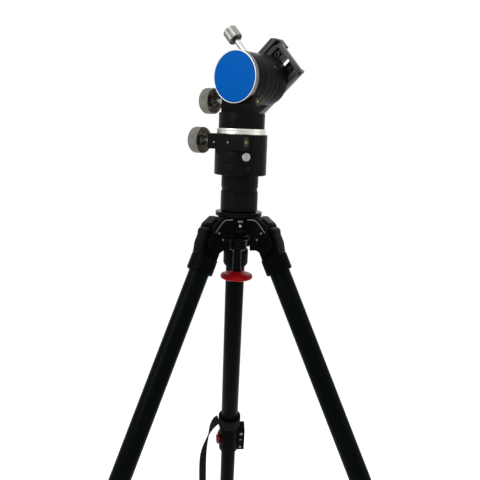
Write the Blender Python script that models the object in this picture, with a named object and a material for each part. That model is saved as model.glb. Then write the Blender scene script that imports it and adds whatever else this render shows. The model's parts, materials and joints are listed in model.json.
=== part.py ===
"""Portable altazimuth mount head on a folding three-leg tripod.

The legs splay to their first angle stop and the half-ball leans a little, as it does on uneven
ground. All sizes below are millimetres and degrees; MM turns them into Blender's metres.
"""

import math

import bmesh
import bpy
from mathutils import Matrix, Vector

MM = 0.001

# Tripod crown: heights are above the ground, radii are from the tripod's own upright axis.
SPLAY = 24.15  # a leg's angle from upright at the first stop
PIVOT_R, PIVOT_Z = 45.7, 1117.0  # each leg's hinge
LEG_AZIMUTH = {"rear": 90.0, "left": 210.0, "right": 330.0}
CHEEK_IN, CHEEK_OUT = 12.4, 19.0  # half-widths between and over the two hinge cheeks
TONGUE_R = 15.5

# Legs: distances run down the leg from its hinge.
UPPER_R, MIDDLE_R, LOWER_R = 14.0, 12.4, 10.8
TUBE_WALL = 1.1
SOCKET_TOP, SOCKET_END, SOCKET_R = 17.0, 43.0, 18.2
CLAMP_LENGTH, CLAMP_LIP = 77.0, 25.0
UPPER_CLAMP, LOWER_CLAMP = 353.0, 733.0
TUBE_OVERLAP = 40.0
FOOT_TOP, FOOT_R = 1172.0, 13.0
LEG_LENGTH = (PIVOT_Z - FOOT_R) / math.cos(math.radians(SPLAY))
FOOT_CIRCLE = PIVOT_R + LEG_LENGTH * math.sin(math.radians(SPLAY))
AXIS_Y = -FOOT_CIRCLE / 4  # centres the three feet's box on the origin

# Levelling bowl and half-ball, with heights from the ball's centre.
BALL_Z = 1153.0
BALL_R, LINER_IN, LINER_OUT, BOWL_IN, BOWL_OUT = 28.6, 28.9, 29.9, 30.2, 34.0
RIM_Z = -4.0
PLATE_ROOM = 33.8  # radius kept clear round the half-ball's plate
LEAN, LEAN_AZIMUTH = 3.8, -71.3
HEAD_AZIMUTH = -39.5  # turns the head so that its end cap faces the front left

# Head: heights from the ball's centre up the leaning axis; X is along the worms, -Y to the cap.
PLATE_R, ADAPTER_R, NECK_R, RING_R, BEARING_R, FLANGE_R = 32.2, 25.65, 25.5, 35.7, 33.8, 31.4
SPINDLE_R = 10.0
AZ_WORM_Y, AZ_WORM_Z = -29.3, 101.7
ALT_AXIS_Z = 186.7
ALT_WORM_Y, ALT_WORM_Z = -1.8, 155.2
WORM_R, WORM_TEETH = 6.0, 60
KNOB_R, KNOB_LENGTH = 17.8, 16.2
BARREL_R, CAP_FRONT, BARREL_FRONT, BARREL_BACK, HUB_BACK = 34.7, -20.7, -12.9, 25.0, 57.0
SADDLE_TURN = 47.5  # the dovetail's tilt about the altitude axis
SCREW_ALONG, SCREW_DEPTH, SCREW_R = 5.0, 62.6, 4.4

STRAP_WIDTH, STRAP_THICK = 20.0, 1.6

GAP = 0.3  # left between neighbouring pieces
BIG_SIDES, MID_SIDES, LEG_SIDES = 32, 28, 18  # facets round the large, middling and leg pieces


for scene_object in list(bpy.data.objects):
    bpy.data.objects.remove(scene_object, do_unlink=True)


# ---------------------------------------------------------------- materials

def material(name, colour, roughness, metallic=0.0):
    made = bpy.data.materials.new(name)
    made.use_nodes = True
    shader = made.node_tree.nodes["Principled BSDF"]
    shader.inputs["Base Color"].default_value = (*colour, 1.0)
    shader.inputs["Roughness"].default_value = roughness
    shader.inputs["Metallic"].default_value = metallic
    made.diffuse_color = (*colour, 1.0)
    return made


ANODISED = material("black_anodised", (0.018, 0.019, 0.021), 0.42, 0.6)
TUBE_GREY = material("leg_tube_black", (0.022, 0.026, 0.026), 0.38, 0.5)
CASTING = material("casting_paint", (0.020, 0.022, 0.022), 0.55)
SILVER = material("silver_anodised", (0.62, 0.61, 0.58), 0.35, 0.9)
STEEL = material("bright_steel", (0.55, 0.54, 0.52), 0.25, 1.0)
BRASS = material("brass", (0.60, 0.43, 0.16), 0.35, 1.0)
RED = material("red_plastic", (0.50, 0.02, 0.03), 0.40)
BLUE = material("blue_cap", (0.004, 0.10, 0.40), 0.35)
RUBBER = material("rubber", (0.015, 0.015, 0.015), 0.85)
WEBBING = material("webbing", (0.020, 0.020, 0.022), 0.90)
LINER = material("liner_plastic", (0.70, 0.70, 0.66), 0.60)


# ---------------------------------------------------------------- shapes

def arc(radius, start, end, steps, centre=(0.0, 0.0)):
    """Points on an arc from start to end, in degrees from the first axis."""
    angles = (math.radians(start + (end - start) * i / steps) for i in range(steps + 1))
    return [(centre[0] + radius * math.cos(a), centre[1] + radius * math.sin(a)) for a in angles]


def sphere_arc(radius, low, high, steps):
    """Profile points on a sphere, from height low to height high."""
    start, end = math.acos(-low / radius), math.acos(-high / radius)
    angles = (start + (end - start) * i / steps for i in range(steps + 1))
    return [(radius * math.sin(a), -radius * math.cos(a)) for a in angles]


def finish(bm):
    bmesh.ops.recalc_face_normals(bm, faces=bm.faces)
    return bm


def lathe(profile, steps=MID_SIDES):
    """A turned solid about Z from (radius, height) points. A profile clear of the axis closes on itself."""
    bm = bmesh.new()
    rings = []
    for radius, height in profile:
        count = steps if radius > 0 else 1
        turns = (2 * math.pi * i / steps for i in range(count))
        rings.append([
            bm.verts.new((radius * MM * math.cos(t), radius * MM * math.sin(t), height * MM))
            for t in turns
        ])
    pairs = list(zip(rings, rings[1:]))
    if profile[0][0] > 0:
        pairs.append((rings[-1], rings[0]))
    for low, high in pairs:
        for i in range(steps):
            j = (i + 1) % steps
            corners = [low[i % len(low)], low[j % len(low)], high[j % len(high)], high[i % len(high)]]
            corners = list(dict.fromkeys(corners))
            if len(corners) > 2:
                bm.faces.new(corners)
    return finish(bm)


def rod(radius, low, high, steps=MID_SIDES):
    return lathe([(0, low), (radius, low), (radius, high), (0, high)], steps)


def tube(outer, inner, low, high, steps=MID_SIDES):
    return lathe([(outer, low), (outer, high), (inner, high), (inner, low)], steps)


def prism(outline, low, high):
    """An outline in X and Y, extruded from low to high along Z."""
    bm = bmesh.new()
    floor = [bm.verts.new((x * MM, y * MM, low * MM)) for x, y in outline]
    roof = [bm.verts.new((x * MM, y * MM, high * MM)) for x, y in outline]
    bm.faces.new(floor)
    bm.faces.new(roof)
    for i in range(len(outline)):
        j = (i + 1) % len(outline)
        bm.faces.new((floor[i], floor[j], roof[j], roof[i]))
    return finish(bm)


def box(low, high, bevel=0.0):
    bm = bmesh.new()
    size = Vector(high) - Vector(low)
    middle = (Vector(high) + Vector(low)) / 2
    place = Matrix.Translation(middle * MM) @ Matrix.Diagonal((*(size * MM), 1.0))
    bmesh.ops.create_cube(bm, size=1.0, matrix=place)
    if bevel:
        bmesh.ops.bevel(bm, geom=bm.edges[:], offset=bevel * MM, segments=1, affect="EDGES")
    return finish(bm)


def moved(bm, matrix):
    bmesh.ops.transform(bm, matrix=matrix, verts=bm.verts)
    return finish(bm)


def at(x, y, z):
    return Matrix.Translation(Vector((x, y, z)) * MM)


def turn(degrees, axis):
    return Matrix.Rotation(math.radians(degrees), 4, axis)


ALONG_X = turn(90, "Y")  # takes a shape's Z axis to +X
ALONG_Y = turn(-90, "X")  # takes a shape's Z axis to +Y
PROFILE_UPRIGHT = turn(90, "X")  # takes an outline's Y axis to +Z and its extrusion to -Y


def mesh_from(bm, name):
    mesh = bpy.data.meshes.new(name)
    bm.to_mesh(mesh)
    bm.free()
    return mesh


def helper(bm):
    made = bpy.data.objects.new("helper", mesh_from(bm, "helper"))
    bpy.context.scene.collection.objects.link(made)
    return made


def carved(base, adds=(), cuts=()):
    """One mesh: the base joined with each of adds, then cut by each of cuts."""
    target = helper(base)
    steps = [("UNION", helper(bm)) for bm in adds] + [("DIFFERENCE", helper(bm)) for bm in cuts]
    for operation, tool in steps:
        modifier = target.modifiers.new(operation.lower(), "BOOLEAN")
        modifier.operation = operation
        modifier.object = tool
    bpy.context.view_layer.update()
    graph = bpy.context.evaluated_depsgraph_get()
    made = bpy.data.meshes.new_from_object(target.evaluated_get(graph))
    for used in [target] + [tool for _, tool in steps]:
        bpy.data.objects.remove(used, do_unlink=True)
    return made


# ---------------------------------------------------------------- frames and pieces

def frame(name, parent=None, place=(0, 0, 0), turned=(0, 0, 0)):
    made = bpy.data.objects.new(name, None)
    bpy.context.scene.collection.objects.link(made)
    made.parent = parent
    made.location = Vector(place) * MM
    made.rotation_euler = [math.radians(angle) for angle in turned]
    made.empty_display_size = 0.02
    return made


def piece(name, shape, look, parent):
    """One sub-part in its parent's frame, from a bmesh or a finished mesh."""
    mesh = shape if isinstance(shape, bpy.types.Mesh) else mesh_from(shape, name)
    mesh.name = name
    mesh.materials.clear()
    mesh.materials.append(look)
    mesh.shade_smooth()
    mesh.set_sharp_from_angle(angle=math.radians(32))
    made = bpy.data.objects.new(name, mesh)
    bpy.context.scene.collection.objects.link(made)
    made.parent = parent
    return made


TRIPOD = frame("tripod_axis", place=(0, AXIS_Y, 0))
BALL = frame("ball_centre", TRIPOD, (0, 0, BALL_Z), (0, 0, LEAN_AZIMUTH))
LEANING = frame("leaning_axis", BALL, turned=(0, LEAN, 0))
HEAD = frame("head_axis", LEANING, turned=(0, 0, HEAD_AZIMUTH - LEAN_AZIMUTH))
AZ_WORM = frame("azimuth_worm_axis", HEAD, (0, AZ_WORM_Y, AZ_WORM_Z), (0, 90, 0))
ALT_WORM = frame("altitude_worm_axis", HEAD, (0, ALT_WORM_Y, ALT_WORM_Z), (0, 90, 0))
ALTITUDE = frame("altitude_axis", HEAD, (0, 0, ALT_AXIS_Z), (-90, 0, 0))
SADDLE = frame("saddle_axis", ALTITUDE, turned=(0, 0, SADDLE_TURN))
CLAMP_AXIS = frame("clamp_screw_axis", SADDLE, (0, SCREW_ALONG, SCREW_DEPTH), (0, -90, 0))


# ---------------------------------------------------------------- crown

def radial_point(azimuth, radius, across, height):
    """A point at a radius and a sideways offset from one leg's direction."""
    turned = turn(azimuth, "Z") @ Vector((radius, across, height))
    return turned.x, turned.y, turned.z


ROOF_TOP, ROOF_END = (36.5, -0.8), (48.4, -10.4)  # the sloping roof, as radius and height


def hinge_arm(azimuth):
    """Two cheeks under a sloping roof, which hold one leg's hinge."""
    side = [(22, -25), (22, -0.8), ROOF_TOP, ROOF_END, (50.6, -15.0), (53.6, -22.5)]
    side += arc(13.2, 40, -110, 6, (PIVOT_R, PIVOT_Z - BALL_Z)) + [(33, -44), (26, -36)]
    arm = prism(side, -CHEEK_OUT, CHEEK_OUT)
    return moved(arm, turn(azimuth, "Z") @ PROFILE_UPRIGHT)


def tongue_room(azimuth):
    """The slot between the cheeks: round the hinge, under the roof, and open below and outside."""
    pivot = (PIVOT_R, PIVOT_Z - BALL_Z)
    side = arc(TONGUE_R + 0.5, 180, 95, 5, pivot) + [(45.0, -12.3), (85, -12.3), (85, -75), (29.7, -75)]
    slot = prism(side, -CHEEK_IN, CHEEK_IN)
    return moved(slot, turn(azimuth, "Z") @ PROFILE_UPRIGHT)


def web(azimuth):
    """The wall between two legs, which the throat then hollows."""
    right = [(24, -45.6), (24, -9.5), (21.5, -5.6), (9.6, -3.6)]
    wall = right + [(-x, z) for x, z in reversed(right)]
    made = prism(wall, -33.2, -21.5)
    return moved(made, turn(azimuth - 90, "Z") @ PROFILE_UPRIGHT)


def window(azimuth):
    opening = [(-14, -60), (14, -60)] + arc(14, 0, 180, 8, (0, -32.9))
    made = prism(opening, -45, -20)
    return moved(made, turn(azimuth - 90, "Z") @ PROFILE_UPRIGHT)


def pin_hole(azimuth):
    place = at(*radial_point(azimuth, PIVOT_R, 0, PIVOT_Z - BALL_Z))
    return moved(rod(4.3, -26, 26, 12), place @ turn(azimuth, "Z") @ ALONG_Y)


def throat():
    """The spherical seat above, the stem's hole, and the open space below the bowl."""
    below = [(0, -80), (27, -80)] + sphere_arc(BOWL_OUT, -31.5, -20.7, 3)[::-1]
    seat = sphere_arc(BOWL_IN, -27.35, RIM_Z, 5)
    return lathe(below + seat + [(PLATE_ROOM, RIM_Z), (PLATE_ROOM, 10), (0, 10)], BIG_SIDES)


def crown():
    azimuths = LEG_AZIMUTH.values()
    between = [azimuth + 60 for azimuth in azimuths]
    core = lathe([(0, -34), (33.6, -34), (33.6, RIM_Z - 1.2), (32.4, RIM_Z), (0, RIM_Z)],
                 BIG_SIDES)
    adds = [hinge_arm(a) for a in azimuths] + [web(a) for a in between]
    cuts = [throat()] + [tongue_room(a) for a in azimuths]
    cuts += [pin_hole(a) for a in azimuths] + [window(a) for a in between]
    return carved(core, adds, cuts)


CROWN = frame("crown_axis", TRIPOD, (0, 0, BALL_Z))
piece("spider", crown(), CASTING, CROWN)


# ---------------------------------------------------------------- levelling half-ball

def half_ball():
    hole = [(0, -10), (4.8, -10), (4.8, -26)]
    plate = [(28.6, 0.3), (PLATE_R - 0.9, 0.3), (PLATE_R, 1.2), (PLATE_R, 5.0), (PLATE_R - 0.8, 5.8)]
    return lathe(hole + sphere_arc(BALL_R, -26, -1, 6) + plate + [(0, 5.8)], BIG_SIDES)


def liner():
    inside = sphere_arc(LINER_IN, -25.5, -9, 4)
    outside = sphere_arc(LINER_OUT, -26.4, -9, 4)
    return lathe(inside + outside[::-1], BIG_SIDES)


def tie_down_cup():
    dish = [(4.8, -34.2), (9, -33.3), (13, -31.9), (17.5, -29.7), (17.5, -32.5)]
    sleeve = [(13, -36), (13, -46.5), (6.3, -50.5), (6.0, -52.5), (6.0, -78.6), (4.8, -78.6)]
    return lathe(dish + sleeve)


def tie_down_knob():
    bore = [(0, -89), (4.8, -89), (4.8, -79.1)]
    crowned = [(9, -79.1), (12, -80.3), (19, -82.0), (22.0, -84.2), (22.5, -86.0)]
    lower = [(22.0, -88.2), (19, -90.4), (12, -92.0), (0, -92.8)]
    return lathe(bore + crowned + lower)


piece("half_ball", half_ball(), ANODISED, HEAD)
piece("ball_liner", liner(), LINER, HEAD)
piece("tie_down_stem", rod(4.5, -88.5, -10.3, 16), STEEL, HEAD)
piece("tie_down_cup", tie_down_cup(), ANODISED, HEAD)
piece("tie_down_knob", tie_down_knob(), RED, HEAD)


# ---------------------------------------------------------------- azimuth unit

def toothed_wheel(radius, bore, low, high):
    """A spur-toothed rim, one tooth for each turn of the worm that a full turn takes."""
    outline = []
    for i in range(WORM_TEETH):
        for share, depth in ((0.0, 0.9), (0.5, 0.0)):
            angle = 2 * math.pi * (i + share) / WORM_TEETH
            outline.append(((radius - depth) * math.cos(angle), (radius - depth) * math.sin(angle)))
    return carved(prism(outline, low, high), cuts=[rod(bore, low - 2, high + 2)])


def worm(front, back, thread_from, thread_to):
    """A worm shaft about Z: journals at both ends and a ringed thread between."""
    profile = [(0, front), (3.4, front), (3.4, thread_from)]
    pitch, height = 2.6, thread_from
    while height + pitch <= thread_to:
        profile += [(4.6, height + 0.2), (WORM_R, height + pitch / 2)]
        height += pitch
    profile += [(4.6, height), (3.4, height), (3.4, back), (0, back)]
    return lathe(profile, 14)


def hand_knob(face):
    """A cupped knurled knob about Z. Its hub and cup face the shaft, at height face."""
    back = face - KNOB_LENGTH
    bore = [(0, back + 3), (3.7, back + 3), (3.7, face - 2)]
    hub = [(7.0, face - 2), (7.2, face - 9.5), (15.2, face - 9.5), (15.8, face)]
    rim = [(KNOB_R - 1.2, face), (KNOB_R, face - 1.4), (KNOB_R, back + 3.5)]
    rounded = arc(3.5, 0, 90, 2, (KNOB_R - 3.5, -(back + 3.5)))
    dome = [(r, -z) for r, z in rounded]
    return lathe(bore + hub + rim + dome[1:] + [(0, back)])


def azimuth_base():
    ring = [(RING_R - 0.9, 56.5), (RING_R, 57.4), (RING_R, 72), (SPINDLE_R, 72)]
    foot = [(0, 33.9), (24.6, 33.9), (24.6, 39), (NECK_R, 39.6), (NECK_R, 56.5)]
    spindle = [(SPINDLE_R, 116), (0, 116)]
    return lathe(foot + ring + spindle, BIG_SIDES)


SCREW_AZIMUTH, CLUTCH_SCREW_Z, CLUTCH_SCREW_R = -42.4, 82.2, 5.5


def screw_place(radius):
    out = turn(SCREW_AZIMUTH, "Z") @ Vector((radius, 0, CLUTCH_SCREW_Z))
    return at(*out) @ turn(SCREW_AZIMUTH, "Z") @ ALONG_X


def clutch_ring():
    ring = tube(RING_R, SPINDLE_R + 0.4, 72.3, 89.2, BIG_SIDES)
    return carved(ring, cuts=[moved(rod(6.1, -5, 8, 16), screw_place(RING_R))])


def clutch_screw():
    head = [(0, -4.6), (CLUTCH_SCREW_R, -4.6), (CLUTCH_SCREW_R, -0.2), (CLUTCH_SCREW_R - 0.6, 0.4)]
    slot = box((-0.7, -8, -0.8), (0.7, 8, 3))
    slotted = carved(lathe(head + [(0, 0.4)], 16), cuts=[slot])
    whole = bmesh.new()
    whole.from_mesh(slotted)
    bpy.data.meshes.remove(slotted)
    return moved(whole, screw_place(RING_R))


BAR_HALF, BAR_FRONT, BAR_LOW, BAR_HIGH = 28.9, -38.0, 91.2, 111.8


def worm_housing():
    shell = rod(RING_R, 89.5, 111.4, BIG_SIDES)
    bar = box((-BAR_HALF, BAR_FRONT, BAR_LOW), (BAR_HALF, -20, BAR_HIGH), 0.6)
    bore = lathe([
        (0, 80), (12, 80), (12, 95), (25.4, 95), (25.4, 107), (34.4, 107), (34.4, 130), (0, 130),
    ], BIG_SIDES)
    worm_bore = moved(rod(WORM_R + 0.6, -60, 60, 16), at(0, AZ_WORM_Y, AZ_WORM_Z) @ ALONG_X)
    return carved(shell, [bar], [bore, worm_bore])


piece("tripod_adapter", lathe([
    (0, 6.1), (23.6, 6.1), (ADAPTER_R, 8.2), (ADAPTER_R, 33.6), (0, 33.6),
], BIG_SIDES), ANODISED, HEAD)
piece("azimuth_base", azimuth_base(), ANODISED, HEAD)
piece("clutch_ring", clutch_ring(), ANODISED, HEAD)
piece("clutch_screw", clutch_screw(), STEEL, HEAD)
AZ_WHEEL_R = -AZ_WORM_Y - WORM_R - GAP
piece("azimuth_worm_wheel", toothed_wheel(
    AZ_WHEEL_R, SPINDLE_R + 0.4, AZ_WORM_Z - 4.5, AZ_WORM_Z + 4.5), BRASS, HEAD)
piece("azimuth_worm_housing", worm_housing(), ANODISED, HEAD)
piece("azimuth_worm", worm(-47.5, 24, -10.4, 10.4), STEEL, AZ_WORM)
piece("azimuth_knob", hand_knob(-41.4), SILVER, AZ_WORM)
piece("bearing_ring", lathe([
    (11, 108.3), (BEARING_R - 0.6, 108.3), (BEARING_R, 109.2), (BEARING_R, 118.3),
    (BEARING_R - 0.6, 119), (11, 119),
], BIG_SIDES), SILVER, HEAD)
piece("head_flange", lathe([
    (0, 119.3), (FLANGE_R, 119.3), (FLANGE_R, 139.2), (FLANGE_R - 0.6, 139.8), (0, 139.8),
], BIG_SIDES), ANODISED, HEAD)


# ---------------------------------------------------------------- altitude unit

def altitude_housing():
    """The worm block and round barrel, in the altitude axis's frame: Y is down, Z to the saddle."""
    barrel = rod(BARREL_R, BARREL_FRONT, BARREL_BACK, BIG_SIDES)
    foot = ALT_AXIS_Z - 140.1
    block = box((-25.8, 8, -14.1), (25.8, foot, 2.9), 0.5)
    column = box((-15, 20, 2), (15, foot - 0.2, 17), 0.5)
    chamber = rod(27.6, BARREL_FRONT - 2, 4.2)
    front = box((-40, -40, -30), (40, BARREL_R + 0.5, BARREL_FRONT))
    shaft_bore = rod(12.4, -5, BARREL_BACK + 5)
    worm_y = ALT_AXIS_Z - ALT_WORM_Z
    worm_bore = moved(rod(WORM_R + 0.6, -40, 40, 16), at(0, worm_y, ALT_WORM_Y) @ ALONG_X)
    return carved(barrel, [block, column], [front, chamber, shaft_bore, worm_bore])


def altitude_shaft():
    """The shaft, and the wide hub behind the barrel that carries the saddle."""
    front = [(0, -12.4), (12.0, -12.4), (12.0, BARREL_BACK + GAP)]
    hub = [(BARREL_R, BARREL_BACK + GAP), (BARREL_R, HUB_BACK - 1), (BARREL_R - 1, HUB_BACK)]
    return lathe(front + hub + [(0, HUB_BACK)], BIG_SIDES)


def end_cap():
    rim = [(33.2, CAP_FRONT + 0.7), (33.2, CAP_FRONT), (BARREL_R - 0.5, CAP_FRONT)]
    side = [(BARREL_R, CAP_FRONT + 0.5), (BARREL_R, BARREL_FRONT - GAP), (0, BARREL_FRONT - GAP)]
    return lathe([(0, CAP_FRONT + 0.7)] + rim + side, BIG_SIDES)


PLATE_TOP, JAW_TOP = 67.8, 80.0
SADDLE_MID = -1.5


def saddle():
    """Base plate with its fixed jaw. X is across the dovetail, Y along it, Z away from the cap."""
    half = [(22.5, -47.5), (28.0, -38.0), (28.5, -20.0)]
    right = half + [(x, -y) for x, y in reversed(half)]
    left = [(-x, y) for x, y in reversed(right)]
    outline = [(x + SADDLE_MID, y) for x, y in right + left]
    plate = prism(outline, HUB_BACK + GAP, PLATE_TOP)
    relief = PLATE_TOP + 2.4  # the wall's foot is cut back below this
    jaw = [(20.7, PLATE_TOP - 1), (20.7, relief), (19.6, relief), (17.0, JAW_TOP), (22.5, JAW_TOP),
           (26.6, PLATE_TOP - 1)]
    fixed = moved(prism(jaw, -44, 44), turn(90, "X"))
    pockets = [box((x - 6.5, -43, HUB_BACK - 1), (x + 6.5, -26, HUB_BACK + 6), 1.0)
               for x in (-16.5, 12.0)]
    slot = box((-4.2, -44.5, HUB_BACK - 5), (0.6, -29, PLATE_TOP + 5))
    bore = moved(rod(SCREW_R + 0.4, -40, -10, 12), at(0, SCREW_ALONG, SCREW_DEPTH) @ ALONG_X)
    return carved(plate, [fixed], pockets + [slot, bore])


def saddle_jaw():
    """The L-shaped sliding jaw, whose lip reaches in over the plate."""
    section = [(-41.5, 59), (-33.2, 59), (-33.2, 68.2), (-24.7, 68.2), (-21.6, JAW_TOP),
               (-38.6, JAW_TOP), (-41.5, 77)]
    bar = moved(prism(section, -46, 46), turn(90, "X"))
    corners = [moved(box((-8, -8, 40), (8, 8, 100)), at(-43.5, y, 0) @ turn(45, "Z"))
               for y in (-50, 50)]
    bore = moved(rod(SCREW_R + 0.4, -50, -28, 12), at(0, SCREW_ALONG, SCREW_DEPTH) @ ALONG_X)
    return carved(bar, cuts=corners + [bore])


def clamp_knob():
    """The knob about Z, which runs outward from the screw's axis."""
    low, high, radius, bore = 84.4, 103.0, 10.8, SCREW_R + 0.4
    profile = [(0, 94), (bore, 94), (bore, low), (9.2, low), (radius, low + 1.2)]
    return lathe(profile + [(radius, high - 1.2), (radius - 1.4, high), (0, high)], 24)


piece("altitude_housing", altitude_housing(), ANODISED, ALTITUDE)
piece("altitude_worm", worm(-52, 22, -10.4, 10.4), STEEL, ALT_WORM)
piece("altitude_knob", hand_knob(-46.0), SILVER, ALT_WORM)
ALT_WHEEL_R = ALT_AXIS_Z - ALT_WORM_Z - WORM_R - GAP
piece("altitude_worm_wheel", toothed_wheel(
    ALT_WHEEL_R, 12.4, ALT_WORM_Y - 4.5, ALT_WORM_Y + 4.5), BRASS, ALTITUDE)
piece("altitude_shaft", altitude_shaft(), ANODISED, SADDLE)
piece("end_cap", end_cap(), BLUE, SADDLE)
piece("saddle", saddle(), ANODISED, SADDLE)
piece("saddle_jaw", saddle_jaw(), ANODISED, SADDLE)
piece("clamp_screw", rod(SCREW_R, 13, 92, 12), STEEL, CLAMP_AXIS)
piece("clamp_knob", clamp_knob(), SILVER, CLAMP_AXIS)


# ---------------------------------------------------------------- legs

def bracket():
    """Hinge tongue and tube socket, in the leg's frame: -Z runs down the leg, Y is the hinge."""
    shoulder = [(9.8, 20.6), (18.2, 14.2), (19.1, 11.0), (17.3, 4.5), (17.4, -6)]
    side = shoulder + [(13.6, -SOCKET_TOP - 4.3), (-13, -SOCKET_TOP - 4.3)] + arc(TONGUE_R, 213, 64, 9)
    tongue = moved(prism(side, -12.0, 12.0), PROFILE_UPRIGHT)
    socket = lathe([
        (0, -SOCKET_TOP), (14.8, -SOCKET_TOP), (SOCKET_R, -SOCKET_TOP - 4),
        (SOCKET_R, -SOCKET_END + 1.5), (SOCKET_R - 1.5, -SOCKET_END), (0, -SOCKET_END),
    ], 20)
    bore = rod(UPPER_R + GAP, -SOCKET_END - 5, -SOCKET_TOP - 4.5, LEG_SIDES)
    hinge = moved(rod(4.3, -20, 20, 12), ALONG_Y)
    return carved(tongue, [socket], [bore, hinge])


def hinge_pin():
    end = CHEEK_OUT + GAP
    head = [(0, end + 2.2), (4.6, end + 2.2), (6.4, end + 1.2), (6.4, end), (4.0, end)]
    return moved(lathe(head + [(r, -y) for r, y in reversed(head)], 12), ALONG_Y)


LEVER_DROP = 51.5
LUG_EARS = ((-76.0, -60.1), (-42.9, -24.0))


def clamp(outer_tube, inner_tube):
    """Split collar on the outer tube's end with its lever lug. Z runs up from the collar's top at 0."""
    step = -(CLAMP_LENGTH - CLAMP_LIP)
    shell = outer_tube + 2.8
    collar = lathe([
        (0, 0), (shell - 0.8, 0), (shell, -0.8), (shell, -CLAMP_LENGTH + 1),
        (shell - 1, -CLAMP_LENGTH), (0, -CLAMP_LENGTH),
    ], LEG_SIDES)
    near, far = -outer_tube - 0.5, -outer_tube - 13
    wall = box((-8, far, -CLAMP_LENGTH + 1.5), (1.2, near, -24.5))
    ears = [box((0, far + 0.2, low), (10, near, high)) for low, high in LUG_EARS]
    bore = lathe([
        (0, -200), (inner_tube + GAP, -200), (inner_tube + GAP, step),
        (outer_tube + GAP, step), (outer_tube + GAP, 50), (0, 50),
    ], LEG_SIDES)
    split = box((-0.8, far - 5, -CLAMP_LENGTH - 5), (0.8, -inner_tube + 1.5, step + 3))
    return carved(collar, [wall] + ears, [bore, split])


def lever(outer_tube):
    """Flip lever: a hinge eye at the origin and a band that wraps round behind the collar."""
    eye = outer_tube + 8.0
    inner, outer = outer_tube + 3.4, outer_tube + 6.2
    start, end = -76, 112
    band = arc(outer, start, end, 12) + arc(inner, end, start, 12)
    grip = arc(outer + 2.6, end - 18, end + 6, 3) + arc(inner, end + 6, end - 18, 3)
    arm = moved(prism(band, -8, 8), at(-5.5, eye, 0))
    tip = moved(prism(grip, -8, 8), at(-5.5, eye, 0))
    return carved(rod(3.6, -8, 8, 12), [arm, tip])


def leg_tube(radius, top, bottom):
    return tube(radius, radius - TUBE_WALL, -bottom, -top, LEG_SIDES)


def foot():
    """Rubber boot on the tube's end, with a ball tread."""
    tread = [(FOOT_R * math.cos(a), -LEG_LENGTH - FOOT_R * math.sin(a)) for a in
             (math.radians(i * (90 - SPLAY) / 3) for i in range(3))]
    tread += [(FOOT_R * math.sin(math.radians(SPLAY * i / 2)),
               -LEG_LENGTH - FOOT_R * math.cos(math.radians(SPLAY * i / 2))) for i in (2, 1, 0)]
    seat = [(0, -1190.6), (LOWER_R + GAP, -1190.6), (LOWER_R + GAP, -FOOT_TOP)]
    boot = [(14.0, -FOOT_TOP), (15.2, -1176), (15.2, -1184), (13.4, -1190)]
    return lathe(seat + boot + tread, LEG_SIDES)


def angle_stop():
    """Sliding release tab on the arm's sloping roof, in the leg's upright frame."""
    slope = math.degrees(math.atan2(ROOF_END[1] - ROOF_TOP[1], ROOF_END[0] - ROOF_TOP[0]))
    tab = box((4.5, -9, 0.35), (15.6, 9, 2.3), 0.5)
    return moved(tab, at(ROOF_TOP[0], 0, ROOF_TOP[1]) @ turn(-slope, "Y"))


def leg(name, azimuth):
    upright = frame(f"leg_{name}_plane", CROWN, turned=(0, 0, azimuth))
    hinge = frame(f"leg_{name}_hinge", upright, (PIVOT_R, 0, PIVOT_Z - BALL_Z), (0, -SPLAY, 0))
    piece(f"leg_{name}_angle_stop", angle_stop(), ANODISED, upright)
    piece(f"leg_{name}_hinge_pin", hinge_pin(), STEEL, hinge)
    piece(f"leg_{name}_bracket", bracket(), CASTING, hinge)
    upper_end = UPPER_CLAMP + CLAMP_LENGTH - CLAMP_LIP
    middle_end = LOWER_CLAMP + CLAMP_LENGTH - CLAMP_LIP
    tubes = (
        ("upper", UPPER_R, SOCKET_TOP + 5, upper_end - GAP),
        ("middle", MIDDLE_R, upper_end - TUBE_OVERLAP, middle_end - GAP),
        ("lower", LOWER_R, middle_end - TUBE_OVERLAP, 1190.0),
    )
    for part, radius, top, bottom in tubes:
        piece(f"leg_{name}_{part}_tube", leg_tube(radius, top, bottom), TUBE_GREY, hinge)
    clamps = (("upper", UPPER_CLAMP, UPPER_R, MIDDLE_R), ("lower", LOWER_CLAMP, MIDDLE_R, LOWER_R))
    for part, drop, outer_tube, inner_tube in clamps:
        seat = frame(f"leg_{name}_{part}_clamp_top", hinge, (0, 0, -drop))
        pivot = (5.5, -outer_tube - 8.0, -LEVER_DROP)
        axis = frame(f"leg_{name}_{part}_lever_axis", seat, pivot)
        piece(f"leg_{name}_{part}_clamp", clamp(outer_tube, inner_tube), CASTING, seat)
        piece(f"leg_{name}_{part}_lever", lever(outer_tube), RED, axis)
    piece(f"leg_{name}_foot", foot(), RUBBER, hinge)
    return hinge


def webbing(route, width, thickness, turned):
    """A flat band along a route in Y and Z. Its width lies along X, turned about Z by an angle."""
    bm = bmesh.new()
    across = turn(turned, "Z") @ Vector((width / 2, 0, 0))
    rings = []
    for i, (y, z) in enumerate(route):
        before, after = route[max(i - 1, 0)], route[min(i + 1, len(route) - 1)]
        along = Vector((0, after[0] - before[0], after[1] - before[1]))
        through = along.cross(across).normalized() * thickness / 2
        corners = (across + through, through - across, -across - through, across - through)
        rings.append([bm.verts.new((Vector((0, y, z)) + corner) * MM) for corner in corners])
    bm.faces.new(rings[0])
    bm.faces.new(rings[-1])
    for near, far in zip(rings, rings[1:]):
        for i in range(4):
            j = (i + 1) % 4
            bm.faces.new((near[i], near[j], far[j], far[i]))
    return finish(bm)


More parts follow.
